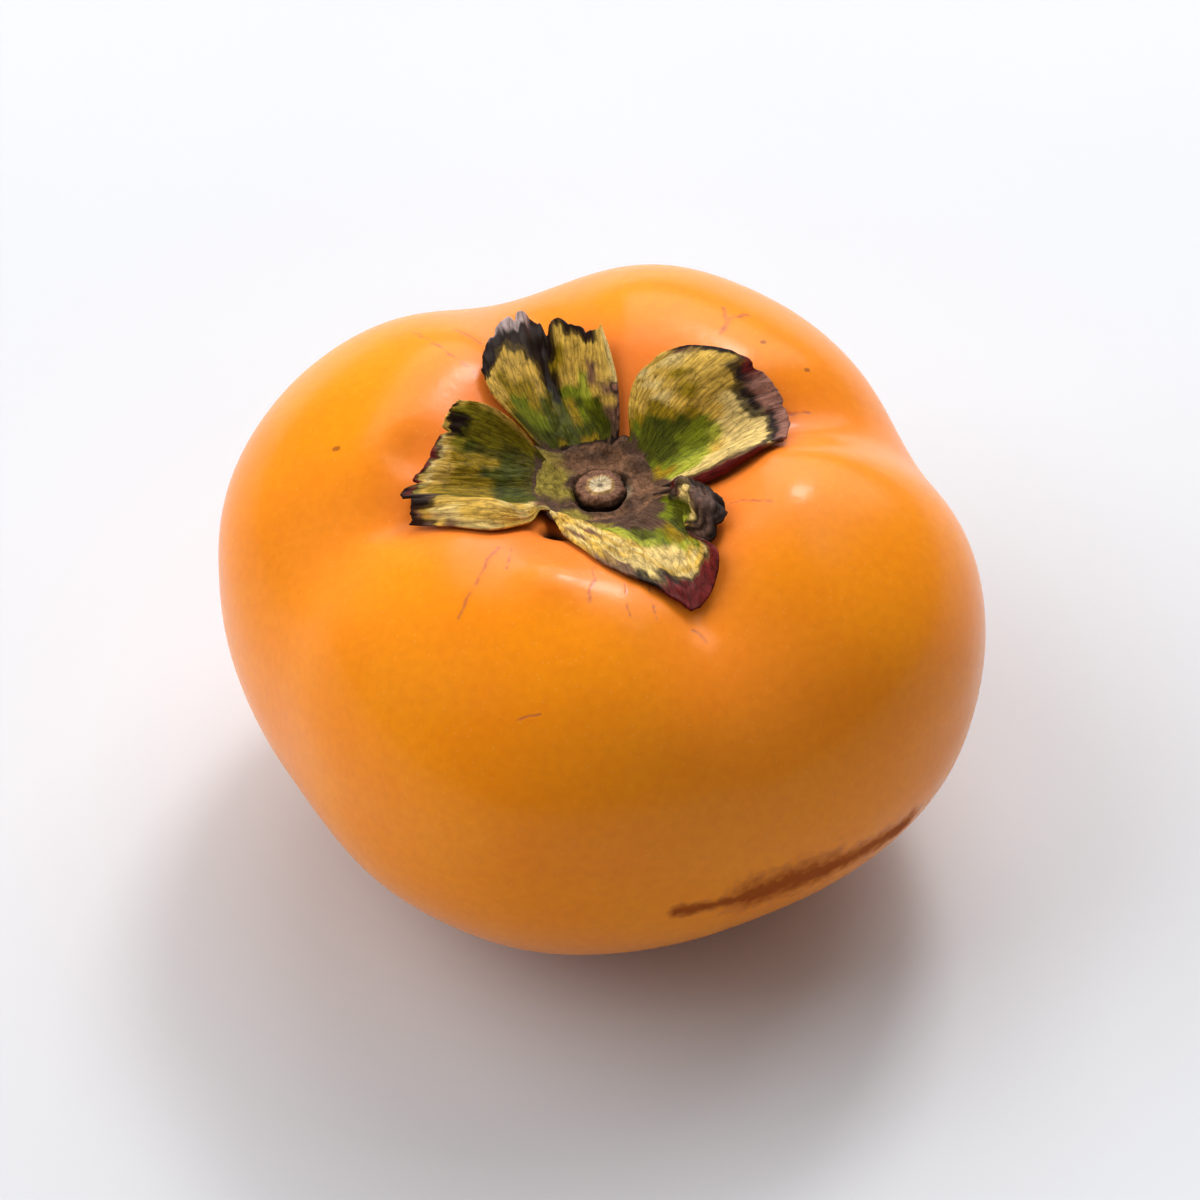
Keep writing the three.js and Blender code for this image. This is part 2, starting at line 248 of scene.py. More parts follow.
# ---- Marks on the skin: width, then points (angle down from the stem end, azimuth) along it ----
HAIRLINES = (
    (0.34, (52, 133), (44, 134), (36, 135)),
    (0.28, (57, 131), (52, 132)),
    (0.3, (50.5, 125), (43.5, 123)),
    (0.36, (35, 232), (39, 233.5), (43.5, 235), (51.5, 237)),
    (0.26, (33, 236), (40, 240)),
    (0.26, (34.5, 269), (39.5, 268), (44.5, 267)),
    (0.22, (40, 278), (47, 277)),
    (0.26, (40.5, 285), (48, 283.5)),
    (0.32, (45.5, 23), (51.5, 22.5)),
    (0.28, (33.5, 331), (41, 334.5)),
    (0.42, (44, 52), (49, 54)),
    (0.42, (53, 52), (48.5, 54.5), (51, 58)),
    (0.22, (64, 255), (62.5, 259)),
    (0.3, (50, 292), (53, 294)),
)
BRUISES = (
    (5.6, (100, 292), (100.5, 298), (101.5, 305)),
    (4.0, (101.5, 305), (102, 312), (103, 321)),
    (2.0, (98.5, 280), (99.5, 285), (100, 290)),
)
SPOTS = ((0.45, 52.5, 173), (0.4, 49, 43), (0.35, 54, 33))  # width, angle, azimuth

# ---- Camera, in metres and degrees ----
CAMERA_DISTANCE, CAMERA_LENS = 1.0, 274
CAMERA_ELEVATION, CAMERA_ROLL = 45.6, 1.8


# ---- The fruit's outline as functions ----
def smooth(value, low, high):
    """0 below low, 1 above high, and an even slope between them."""
    share = np.clip((value - low) / (high - low), 0, 1)
    return share * share * (3 - 2 * share)


def turn_between(a, b):
    return (a - b + 180) % 360 - 180


def plan_radius(azimuth):
    turn = np.radians(azimuth - PLAN_TURN)
    square = np.abs(np.cos(turn)) ** PLAN_POWER + np.abs(np.sin(turn)) ** PLAN_POWER
    oval = 1 + OVAL_SHARE * np.cos(2 * np.radians(azimuth - OVAL_TURN))
    return FLAT_RADIUS * oval / square ** (1 / PLAN_POWER)


def furrow_depth(azimuth):
    return sum(depth * np.exp(-((turn_between(azimuth, at) / spread) ** 2)) for at, depth, spread in FURROWS)


def dents(x, y, spots):
    """The height that a list of swellings and hollows adds."""
    return sum(high * np.exp(-((x - at_x) ** 2 + (y - at_y) ** 2) / spread ** 2)
               for at_x, at_y, spread, high in spots)


def skin_point(angle, azimuth):
    """Radius and height of the skin, at an angle in radians down from the stem end."""
    rise, out = np.cos(angle), np.sin(angle)
    half = np.where(rise < 0, BASE_HEIGHT, CROWN_HEIGHT)
    power = np.where(rise < 0, BASE_POWER, CROWN_POWER)
    reach = plan_radius(azimuth)
    size = ((out / reach) ** power + (np.abs(rise) / half) ** power) ** (-1 / power)
    radius, height = size * out, size * rise
    slope_out = (radius / reach) ** (power - 1) / reach
    slope_up = np.sign(height) * (np.abs(height) / half) ** (power - 1) / half
    share = smooth(height / half, -0.25, 1.05) * (1 - np.exp(-((radius / FURROW_TOP) ** 4)))
    sink = furrow_depth(azimuth) * share / np.hypot(slope_out, slope_up)
    radius, height = radius - sink * slope_out, height - sink * slope_up
    x, y = radius * np.cos(np.radians(azimuth)), radius * np.sin(np.radians(azimuth))
    basin = height - BASIN_DEPTH * np.exp(-((radius / BASIN_RADIUS) ** 2)) + dents(x, y, PUCKERS)
    dimple = DIMPLE_DEPTH * np.maximum(1 - (radius / DIMPLE_RADIUS) ** 2, 0) ** 2
    return radius, np.where(rise < 0, np.maximum(height, REST_LEVEL) + dimple, basin)


def skin_height(radius, azimuth):
    """Height of the upper skin, found by halving the angle from the stem end."""
    low, high = np.zeros_like(radius), np.full_like(radius, math.radians(75))
    for _ in range(26):
        middle = (low + high) / 2
        inside = skin_point(middle, azimuth)[0] < radius
        low, high = np.where(inside, middle, low), np.where(inside, high, middle)
    return skin_point(low, azimuth)[1]


def drape(places):
    """Lays places on the fruit: their own z is the height above the skin."""
    azimuth = np.degrees(np.arctan2(places[:, 1], places[:, 0]))
    lift = skin_height(np.hypot(places[:, 0], places[:, 1]), azimuth)
    return places + np.column_stack((np.zeros_like(lift), np.zeros_like(lift), lift))


def on_skin(angle, azimuth):
    """A place on the skin, in the frame's metres, from degrees."""
    radius, height = skin_point(np.radians(float(angle)), float(azimuth))
    turn = math.radians(azimuth)
    return Vector((radius * math.cos(turn), radius * math.sin(turn), float(height))) * MM + AXIS


def wave(places, length, seed):
    """Smooth noise from -1 to 1 at each place, with waves of about that length."""
    shift = Vector((seed * 7.3, seed * 3.1, seed * 5.7))
    return np.array([noise.noise(Vector(place) / length + shift) for place in places])


# ---- Mesh helpers ----
def places_of(bm):
    return np.array([vert.co for vert in bm.verts])


def put(bm, places):
    for vert, place in zip(bm.verts, places):
        vert.co = place
    bm.normal_update()


def push(bm, amounts):
    """Moves each vertex out along its own normal."""
    normals = np.array([vert.normal for vert in bm.verts])
    put(bm, places_of(bm) + normals * np.asarray(amounts)[:, None])


def paint(bm, name, values):
    """Keeps one number for each vertex, which the piece's material reads."""
    layer = bm.verts.layers.float.new(name)
    for vert, value in zip(bm.verts, values):
        vert[layer] = float(value)


def paint_tint(bm, tints):
    """Keeps one linear colour for each vertex, which the piece's material reads."""
    layer = bm.verts.layers.float_color.new("tint")
    for vert, tint in zip(bm.verts, tints):
        vert[layer] = (*tint, 1)


def tissue_tints(rows, along, across, fringe, stir):
    """A colour at each place from a map of tissues; fringe and stir carry the borders about."""
    levels = np.array([level for level, _ in rows])
    cells = np.array([[linear(TISSUES[letter])[:3] for letter in letters] for _, letters in rows])
    burnt = np.array([[letter in BURNT for letter in letters] for _, letters in rows], float)
    at_row = np.interp(np.clip(along + 0.016 * fringe + 0.026 * stir, 0, 1), levels, np.arange(len(levels)))
    at_cell = np.clip(across + 0.022 * stir, 0, 1) * (cells.shape[1] - 1)
    row = np.minimum(at_row.astype(int), len(levels) - 2)
    cell = np.minimum(at_cell.astype(int), cells.shape[1] - 2)
    up, over = smooth(at_row - row, 0.1, 0.9), smooth(at_cell - cell, 0.15, 0.85)
    tints, scorch = 0, 0
    for step_row, share_row in ((0, 1 - up), (1, up)):
        for step_cell, share_cell in ((0, 1 - over), (1, over)):
            share = share_row * share_cell
            tints = tints + share[:, None] * cells[row + step_row, cell + step_cell]
            scorch = scorch + share * burnt[row + step_row, cell + step_cell]
    return tints * (1 - 0.75 * (4 * scorch * (1 - scorch)) ** 2)[:, None]


def turned(bm, profile, steps):
    """A closed turned form, its profile running from the axis back to the axis."""
    verts = [bm.verts.new((radius, 0, height)) for radius, height in profile]
    edges = [bm.edges.new(pair) for pair in zip(verts, verts[1:])]
    bmesh.ops.spin(bm, geom=verts + edges, axis=(0, 0, 1), cent=(0, 0, 0), steps=steps,
                   angle=2 * math.pi, use_merge=True)
    bmesh.ops.remove_doubles(bm, verts=bm.verts, dist=1e-4)
    bmesh.ops.recalc_face_normals(bm, faces=bm.faces)


def finished(bm, name, node, slot, *materials):
    """The piece as an object, in its place in the frame, standing for its CAD node."""
    bmesh.ops.scale(bm, vec=(MM, MM, MM), verts=bm.verts)
    bmesh.ops.translate(bm, vec=AXIS, verts=bm.verts)
    mesh = bpy.data.meshes.new(name)
    bm.to_mesh(mesh)
    bm.free()
    mesh.shade_smooth()
    for material in materials:
        mesh.materials.append(material)
    piece = bpy.data.objects.new(name, mesh)
    bpy.context.collection.objects.link(piece)
    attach(piece, "root")
    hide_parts(node)
    return piece


def frame_axis():
    """Where the fruit's axis meets its widest level in the frame."""
    low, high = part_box("fruit_body")
    angles, turns = np.meshgrid(np.radians(np.arange(80, 100, 0.5)), np.arange(0, 360, 1.0))
    radius, _ = skin_point(angles, turns)
    x, y = radius * np.cos(np.radians(turns)) * MM, radius * np.sin(np.radians(turns)) * MM
    middle = (low + high) / 2
    return Vector((middle.x - (x.min() + x.max()) / 2, middle.y - (y.min() + y.max()) / 2,
                   low.z - REST_LEVEL * MM))


AXIS = frame_axis()


# ---- Materials ----
def linear(code):
    """A linear colour from an sRGB hex code."""
    parts = [int(code[i:i + 2], 16) / 255 for i in (1, 3, 5)]
    return (*[c / 12.92 if c <= 0.04045 else ((c + 0.055) / 1.055) ** 2.4 for c in parts], 1)


def add(tree, kind, feeds=(), out=0, **settings):
    """Adds a node with its settings, feeds its sockets with values or links, and gives one output."""
    made = tree.nodes.new(kind)
    for key, value in settings.items():
        setattr(made, key, value)
    for socket, value in dict(feeds).items():
        if isinstance(value, bpy.types.NodeSocket):
            tree.links.new(value, made.inputs[socket])
        else:
            made.inputs[socket].default_value = value
    return made.outputs[out]


def started(name):
    """A material with an empty tree, and its Object coordinates."""
    material = bpy.data.materials.new(name)
    material.use_nodes = True
    tree = material.node_tree
    tree.nodes.clear()
    return material, tree, add(tree, "ShaderNodeTexCoord", out="Object")


def ended(material, tree, surface):
    output = tree.nodes.new("ShaderNodeOutputMaterial")
    tree.links.new(surface, output.inputs["Surface"])
    return material


def near_line(tree, place, start, end, width):
    """1 on the line from start to end, falling to 0 at its width."""
    along = (end - start).normalized()
    offset = add(tree, "ShaderNodeVectorMath", {0: place, 1: start}, operation="SUBTRACT")
    reach = add(tree, "ShaderNodeVectorMath", {0: offset, 1: along}, out="Value", operation="DOT_PRODUCT")
    held = add(tree, "ShaderNodeClamp", {"Value": reach, "Max": (end - start).length})
    foot = add(tree, "ShaderNodeVectorMath", {0: along, "Scale": held}, operation="SCALE")
    apart = add(tree, "ShaderNodeVectorMath", {0: offset, 1: foot}, out="Value", operation="DISTANCE")
    return add(tree, "ShaderNodeMapRange", {"Value": apart, "From Max": width * MM, "To Min": 1, "To Max": 0})


def marked(tree, place, points, width):
    """A mask along a line through points on the skin, each (angle, azimuth)."""
    ends = [on_skin(*point) for point in points]
    return most_of(tree, [near_line(tree, place, a, b, width) for a, b in zip(ends, ends[1:])])


def most_of(tree, masks):
    """The strongest of several masks at each point."""
    strongest = masks[0]
    for mask in masks[1:]:
        strongest = add(tree, "ShaderNodeMath", {0: strongest, 1: mask}, operation="MAXIMUM")
    return strongest


def waxy_persimmon_skin():
    """Ripe fruit skin under its own thin wax: soft satin shine, faint mottling, a few scars."""
    material, tree, place = started("waxy persimmon skin")
    mottle = add(tree, "ShaderNodeTexNoise", {"Vector": place, "Scale": 1 / (15 * MM), "Detail": 3})
    grain = add(tree, "ShaderNodeTexNoise", {"Vector": place, "Scale": 1 / (1.1 * MM), "Detail": 4})
    fleck = add(tree, "ShaderNodeTexVoronoi", {"Vector": place, "Scale": 1 / (0.9 * MM)})
    orange = add(tree, "ShaderNodeMix", {0: mottle, 6: linear("#f08204"), 7: linear("#fb9a10")}, out=2,
                 data_type="RGBA")
    blush = add(tree, "ShaderNodeAttribute", out="Fac", attribute_name="blush")
    blushed = add(tree, "ShaderNodeMath", {0: blush, 1: 0.7}, operation="MULTIPLY")
    orange = add(tree, "ShaderNodeMix", {0: blushed, 6: orange, 7: linear("#f07a3c")}, out=2, data_type="RGBA")
    # Paler and darker grains, under half a millimetre across, keep the colour from looking painted.
    grain_share = add(tree, "ShaderNodeMapRange", {"Value": grain, "From Min": 0.35, "From Max": 0.7,
                                                   "To Max": 0.24})
    orange = add(tree, "ShaderNodeMix", {0: grain_share, 6: orange, 7: linear("#d9700e")}, out=2,
                 data_type="RGBA")
    dots = add(tree, "ShaderNodeMapRange", {"Value": fleck, "From Min": 0.06, "From Max": 0.2,
                                            "To Min": 0.22, "To Max": 0})
    orange = add(tree, "ShaderNodeMix", {0: dots, 6: orange, 7: linear("#ffb760")}, out=2, data_type="RGBA")
    # The scars follow wavy lines, so the point that is measured from them is shaken a little.
    shake = add(tree, "ShaderNodeTexNoise", {"Vector": place, "Scale": 1 / (2.5 * MM), "Detail": 2},
                out="Color")
    shake = add(tree, "ShaderNodeVectorMath", {0: shake, 1: (0.5, 0.5, 0.5)}, operation="SUBTRACT")
    shake = add(tree, "ShaderNodeVectorMath", {0: shake, "Scale": 1.6 * MM}, operation="SCALE")
    shaken = add(tree, "ShaderNodeVectorMath", {0: place, 1: shake}, operation="ADD")
    broken = add(tree, "ShaderNodeMapRange", {"Value": grain, "From Min": 0.34, "From Max": 0.5,
                                              "To Min": 0.15, "To Max": 0.62})
    scars = most_of(tree, [marked(tree, shaken, points, width) for width, *points in HAIRLINES])
    scar = add(tree, "ShaderNodeMath", {0: scars, 1: broken}, operation="MULTIPLY")
    orange = add(tree, "ShaderNodeMix", {0: scar, 6: orange, 7: linear("#8c4048")}, out=2, data_type="RGBA")
    bands = most_of(tree, [marked(tree, shaken, points, width) for width, *points in BRUISES])
    # A bruise has a blotchy edge, so fine noise eats into it.
    eaten = add(tree, "ShaderNodeMath", {0: grain, 1: 0.7, 2: bands}, operation="MULTIPLY_ADD")
    band = add(tree, "ShaderNodeMapRange", {"Value": eaten, "From Min": 0.58, "From Max": 1.2, "To Max": 0.85})
    orange = add(tree, "ShaderNodeMix", {0: band, 6: orange, 7: linear("#863000")}, out=2, data_type="RGBA")
    spots = most_of(tree, [marked(tree, place, ((angle, turn), (angle + 0.5, turn)), width)
                           for width, angle, turn in SPOTS])
    spot = add(tree, "ShaderNodeMapRange", {"Value": spots, "From Max": 0.6, "To Max": 0.65})
    orange = add(tree, "ShaderNodeMix", {0: spot, 6: orange, 7: linear("#6d3216")}, out=2, data_type="RGBA")
    # Painted shade: the deepest part of the pit under the front sinus is coloured near black, standing in for
    # the shadow under the sepals' arch.
    painted_pit_shade = add(tree, "ShaderNodeAttribute", out="Fac", attribute_name="painted_pit_shade")
    orange = add(tree, "ShaderNodeMix", {0: painted_pit_shade, 6: orange, 7: linear("#2a1206")}, out=2, data_type="RGBA")
    shine = add(tree, "ShaderNodeMapRange", {"Value": mottle, "To Min": 0.21, "To Max": 0.28})
    shine = most_of(tree, [shine, painted_pit_shade, band])
    relief = add(tree, "ShaderNodeMath", {0: grain, 1: scar}, operation="SUBTRACT")
    bump = add(tree, "ShaderNodeBump", {"Strength": 0.35, "Distance": 0.09 * MM, "Height": relief})
    # The IOR is lower than wax's own 1.45, so that the flanks keep their full orange at a glancing angle.
    surface = add(tree, "ShaderNodeBsdfPrincipled", {
        "Base Color": orange, "Roughness": shine, "IOR": 1.2, "Specular IOR Level": 0.85, "Normal": bump,
        "Subsurface Weight": 0.12, "Subsurface Radius": (1.0, 0.42, 0.12), "Subsurface Scale": 3 * MM,
    })
    return ended(material, tree, surface)


def dried_tissue(name, dryness, grain, vein_stretch, depth):
    """Dried plant tissue: its painted tints, broken up by fine veins and dark specks, dull and rough.

    Grain is about the width of a vein on the piece's flat map and depth is the height of the relief, both
    in millimetres. A small vein_stretch draws the veins out along the leaf.
    """
    material, tree, place = started(name)
    sheet = add(tree, "ShaderNodeUVMap", uv_map="sheet")
    along_veins = add(tree, "ShaderNodeMapping", {"Vector": sheet, "Scale": (1, vein_stretch, 1)})
    vein = add(tree, "ShaderNodeTexNoise", {"Vector": along_veins, "Scale": 1 / grain, "Detail": 5})
    blotch = add(tree, "ShaderNodeTexNoise", {"Vector": place, "Scale": 1 / (1.3 * MM), "Detail": 5})
    speck = add(tree, "ShaderNodeTexNoise", {"Vector": place, "Scale": 1 / (0.4 * MM), "Detail": 3})
    tint = add(tree, "ShaderNodeAttribute", out="Color", attribute_name="tint")
    value = add(tree, "ShaderNodeMapRange", {"Value": vein, "From Min": 0.3, "From Max": 0.7,
                                             "To Min": 0.64, "To Max": 1.44})
    cloud = add(tree, "ShaderNodeMapRange", {"Value": blotch, "From Min": 0.3, "From Max": 0.7,
                                             "To Min": 0.75, "To Max": 1.22})
    value = add(tree, "ShaderNodeMath", {0: value, 1: cloud}, operation="MULTIPLY")
    # A net of thin dark veins, its meshes drawn out along the leaf.
    drawn = add(tree, "ShaderNodeMapping", {"Vector": sheet, "Scale": (1, min(1, 1.8 * vein_stretch), 1)})
    bent = add(tree, "ShaderNodeTexNoise", {"Vector": drawn, "Scale": 1.6, "Detail": 3}, out="Color")
    bent = add(tree, "ShaderNodeVectorMath", {0: bent, 1: (0.7, 0.7, 0.7), 2: drawn}, operation="MULTIPLY_ADD")
    net = add(tree, "ShaderNodeTexVoronoi", {"Vector": bent, "Scale": 0.55 / min(grain, 0.4)},
              feature="DISTANCE_TO_EDGE")
    net = add(tree, "ShaderNodeMapRange", {"Value": net, "From Max": 0.1, "To Min": 0.58, "To Max": 1})
    value = add(tree, "ShaderNodeMath", {0: value, 1: net}, operation="MULTIPLY")
    colour = add(tree, "ShaderNodeVectorMath", {0: tint, "Scale": value}, operation="SCALE")
    # Dark specks sit all over dry tissue.
    peppered = add(tree, "ShaderNodeMapRange", {"Value": speck, "From Min": 0.6, "From Max": 0.72,
                                                "To Max": 0.45})
    colour = add(tree, "ShaderNodeMix", {0: peppered, 6: colour, 7: linear("#22150d")}, out=2, data_type="RGBA")
    relief = add(tree, "ShaderNodeMath", {0: blotch, 1: 0.5, 2: vein}, operation="MULTIPLY_ADD")
    bump = add(tree, "ShaderNodeBump", {"Strength": 0.9, "Distance": depth * MM, "Height": relief})
    surface = add(tree, "ShaderNodeBsdfPrincipled", {
        "Base Color": colour, "Roughness": dryness, "IOR": 1.42, "Specular IOR Level": 0.18, "Normal": bump,
    })
    return ended(material, tree, surface)


def leathery_underside():
    """The outer face of a dried sepal: dull maroon brown with close dark wrinkles."""
    material, tree, place = started("leathery maroon underside")
    blotch = add(tree, "ShaderNodeTexNoise", {"Vector": place, "Scale": 1 / (1.4 * MM), "Detail": 5})
    colour = add(tree, "ShaderNodeMix", {0: blotch, 6: linear("#230d0c"), 7: linear("#6b3a30")}, out=2,
                 data_type="RGBA")
    bump = add(tree, "ShaderNodeBump", {"Strength": 0.7, "Distance": 0.1 * MM, "Height": blotch})
    surface = add(tree, "ShaderNodeBsdfPrincipled", {"Base Color": colour, "Roughness": 0.6, "IOR": 1.45,
                                                     "Normal": bump})
    return ended(material, tree, surface)


# ---- The pieces ----
def fruit():
    bm = bmesh.new()
    bmesh.ops.create_cube(bm, size=2)
    bmesh.ops.subdivide_edges(bm, edges=bm.edges, cuts=120, use_grid_fill=True)
    ways = places_of(bm)
    ways /= np.linalg.norm(ways, axis=1)[:, None]
    azimuth = np.degrees(np.arctan2(ways[:, 1], ways[:, 0]))
    radius, height = skin_point(np.arccos(np.clip(ways[:, 2], -1, 1)), azimuth)
    x, y = radius * np.cos(np.radians(azimuth)), radius * np.sin(np.radians(azimuth))
    pit = dents(x, y, PITS) * (height > 0)
    put(bm, np.column_stack((x, y, height + pit)))
    # Slow swellings, a quarter of a millimetre high, away from the calyx and the rest spot.
    free = smooth(radius, 20, 30) * smooth(height, REST_LEVEL, REST_LEVEL + 8)
    push(bm, free * 0.25 * wave(places_of(bm), 14, 1))
    # The skin is redder in the basin, along the furrows and round the blossom tip.
    furrow = furrow_depth(azimuth) / 4 * smooth(height, 0, 20)
    basin, tip = smooth(-radius, -27, -15) * (height > 0), smooth(-radius, -5.5, -1.5) * (height < 0)
    # The deepest part of that pit is marked for painted shade, where the arch of sepals above would shadow it.
    paint(bm, "painted_pit_shade", smooth(-pit, 0.55, 1.7))
    paint(bm, "blush", np.clip(basin + tip + 0.5 * furrow, 0, 1))
    return finished(bm, "persimmon_fruit", "fruit_body", "skin", waxy_persimmon_skin())


def between(points, share):
    """A smooth curve through rows of points at each share, from 0 to just past 1, a share for each curve."""
    points = np.asarray(points, float)
    last = len(points) - 1
    ends = np.concatenate((2 * points[:1] - points[1:2], points, 2 * points[-1:] - points[-2:-1]))
    at = share * last
    first = np.minimum(at.astype(int), last - 1)
    part = (at - first)[:, None]
    pick = np.arange(len(share))
    a, b, c, d = [ends[first + k, pick] if ends.ndim == 3 else ends[first + k] for k in range(4)]
    return 0.5 * (2 * b + (c - a) * part + (2 * a - 5 * b + 4 * c - d) * part ** 2
                  + (3 * b - a - 3 * c + d) * part ** 3)


def sheet_places(columns, along, across):
    """Places on a sepal's sheet, its heights still above the skin. Each column starts at the disc."""
    lines = []
    for column in columns:
        root = (column[0][0], ROOT_RADIUS, ROOT_HEIGHT)
        azimuth, radius, height = np.array((root, *column), float).T
        turn = np.radians(azimuth)
        points = np.column_stack((radius * np.cos(turn), radius * np.sin(turn), height))
        lines.append(between(points, along))
    return between(np.array(lines), across)


def sheet_map(bm, across, along, wide, long):
    """A map in millimetres, from two shares at each vertex, so that veins have their true size."""
    uv = bm.loops.layers.uv.new("sheet")
    bm.verts.index_update()
    for face in bm.faces:
        for loop in face.loops:
            at = loop.vert.index
            loop[uv].uv = (across[at] * wide, along[at] * long)


def sepal(name, node, columns, tissue, roughness, tears, ridges, material, underside, seed):
    bm = bmesh.new()
    bmesh.ops.create_grid(bm, x_segments=210, y_segments=130, size=0.5)
    flat = places_of(bm)
    across, along = flat[:, 0] + 0.5, flat[:, 1] + 0.5
    sheet_map(bm, across, along, SHEET_WIDE, SHEET_LONG)
    # A dry margin is ragged: the length falls short where it has torn or crumbled.
    margin = np.column_stack((across * MARGIN_LONG, np.zeros_like(across), np.zeros_like(across)))
    ragged = roughness * (0.02 * (1 + wave(margin, 1.0, seed)) + 0.01 * (1 + wave(margin, 0.35, seed + 1)))
    for at, width, depth in tears:
        ragged += depth * np.exp(-(((across - at) / width) ** 2))
    reach = along * (1 + (MARGIN_SPARE - ragged) * along ** 4)
    places = sheet_places(columns, reach, across)
    places[:, 2] = np.maximum(places[:, 2], GAP + SEPAL_THICKNESS / 2)
    put(bm, drape(places))
    bmesh.ops.reverse_faces(bm, faces=bm.faces)
    bm.normal_update()
    # Veins run from the disc to the margin; buckles and a crumpled margin came as it dried.
    sheet = np.column_stack((across * SHEET_WIDE, along * SHEET_LONG, np.zeros_like(across)))
    vein = wave(sheet * (1, 0.12, 1), 0.7, seed + 2)
    buckle = wave(sheet * (1, 0.6, 1), 4, seed + 3)
    crumple = wave(sheet, 1.3, seed + 4) * smooth(along, 0.65, 1)
    free = smooth(along, 0.1, 0.35)
    ridge = sum(high * np.exp(-(((across - at) / width) ** 2)) for at, width, high in ridges)
    ridge = ridge * (wave(sheet * (1, 0.2, 1), 1.1, seed + 5) + 0.8 * wave(sheet, 0.9, seed + 10))
    push(bm, free * (0.07 * vein + 0.2 * buckle + 0.22 * crumple + ridge))
    fringe = wave(sheet * (1, 0.15, 1), 0.5, seed + 6) + 0.5 * wave(sheet * (1, 0.15, 1), 0.22, seed + 7)
    stir = wave(sheet, 1.8, seed + 8) + 0.5 * wave(sheet, 0.7, seed + 9)
    paint_tint(bm, tissue_tints(tissue, along, across, fringe, stir))
    piece = finished(bm, name, node, "dried_leaf", material, underside)
    solid = piece.modifiers.new("leaf thickness", "SOLIDIFY")
    solid.thickness = SEPAL_THICKNESS * MM
    solid.offset = 0
    solid.material_offset = 1
    return piece


def disc():
    """The calyx's own disc, which lines the basin and reaches out between the sepals."""
    bm = bmesh.new()
    under = [(r, GAP) for r in np.linspace(0, DISC_RADIUS, 12)]
    over = [(r, DISC_TOP) for r in np.linspace(5.8, 0, 40)]
    rim = [(7.15, GAP + 0.1), (7.2, GAP + 0.25), (6.95, GAP + 0.45), (6.6, GAP + 0.6), (6.2, GAP + 0.73)]
    turned(bm, under + rim + over, 200)
    places = places_of(bm)
    radius = np.hypot(places[:, 0], places[:, 1])
    azimuth = np.degrees(np.arctan2(places[:, 1], places[:, 0]))
    round_share = (azimuth % 360) / 360
    sheet_map(bm, places[:, 0], places[:, 1], 1, 1)
    stir = wave(places, 1.6, 13) + 0.6 * wave(places, 0.6, 14)
    fringe = wave(places, 0.9, 15)
    paint_tint(bm, tissue_tints(DISC_TISSUE, radius / DISC_MAP_RADIUS, round_share, fringe, stir))
    past = sum(reach * np.exp(-((turn_between(azimuth, at) / spread) ** 2)) for at, reach, spread in SINUSES)
    share = 1 + past / DISC_RADIUS * smooth(radius, 3, DISC_RADIUS)
    share += 0.04 * wave(places, 2.0, 16) * smooth(radius, 5, 7)
    places[:, :2] *= share[:, None]
    top = smooth(places[:, 2], GAP + 0.25, DISC_TOP)
    relief = 0.25 * wave(places, 2.4, 17) + 0.17 * wave(places, 1.2, 11) + 0.09 * wave(places, 0.5, 12)
    from_stub = np.hypot(places[:, 0] - STUB_CENTRE, places[:, 1])
    # A raised collar stands round the stalk, with a groove inside it.
    collar = 0.35 * np.exp(-(((from_stub - 3.5) / 0.45) ** 2))
    collar -= 0.25 * np.exp(-(((from_stub - 2.9) / 0.3) ** 2))
    places[:, 2] += top * (relief + collar)
    put(bm, drape(places))
    return finished(bm, "dried_disc", "calyx_disc", "dried_disc",
                    dried_tissue("dried calyx disc", 0.8, 0.8, 1, 0.25))


def rounded(outline, steps):
    """A smooth closed profile through the outline's points, both ends on the axis."""
    points = np.array([(radius, height, 0) for radius, height in outline])
    curve = between(points, np.linspace(0, 1, steps))[:, :2]
    curve[:, 0] = np.maximum(curve[:, 0], 0)
    curve[[0, -1], 0] = 0
    return curve


def bark_and_shade_tints(radius, height, low, high, cut_radius):
    """Sides going from dark at the foot to brown at the shoulder, a painted shade, and a pale cut face ringed
    with tan round a darker pith.
    """
    tints = np.array([linear(code)[:3] for code in ("#1c100a", "#7d5743", "#ab8555", "#cdb791", "#857760")])
    up = smooth(height, low, high)
    steps = (up, up * smooth(-radius, -cut_radius - 0.55, -cut_radius - 0.2),
             up * smooth(-radius, -cut_radius - 0.1, -cut_radius + 0.12), up * smooth(-radius, -0.5, -0.2))
    colour = np.tile(tints[0], (len(radius), 1))
    for tint, share in zip(tints[1:], steps):
        colour = colour * (1 - share[:, None]) + tint * share[:, None]
    return colour


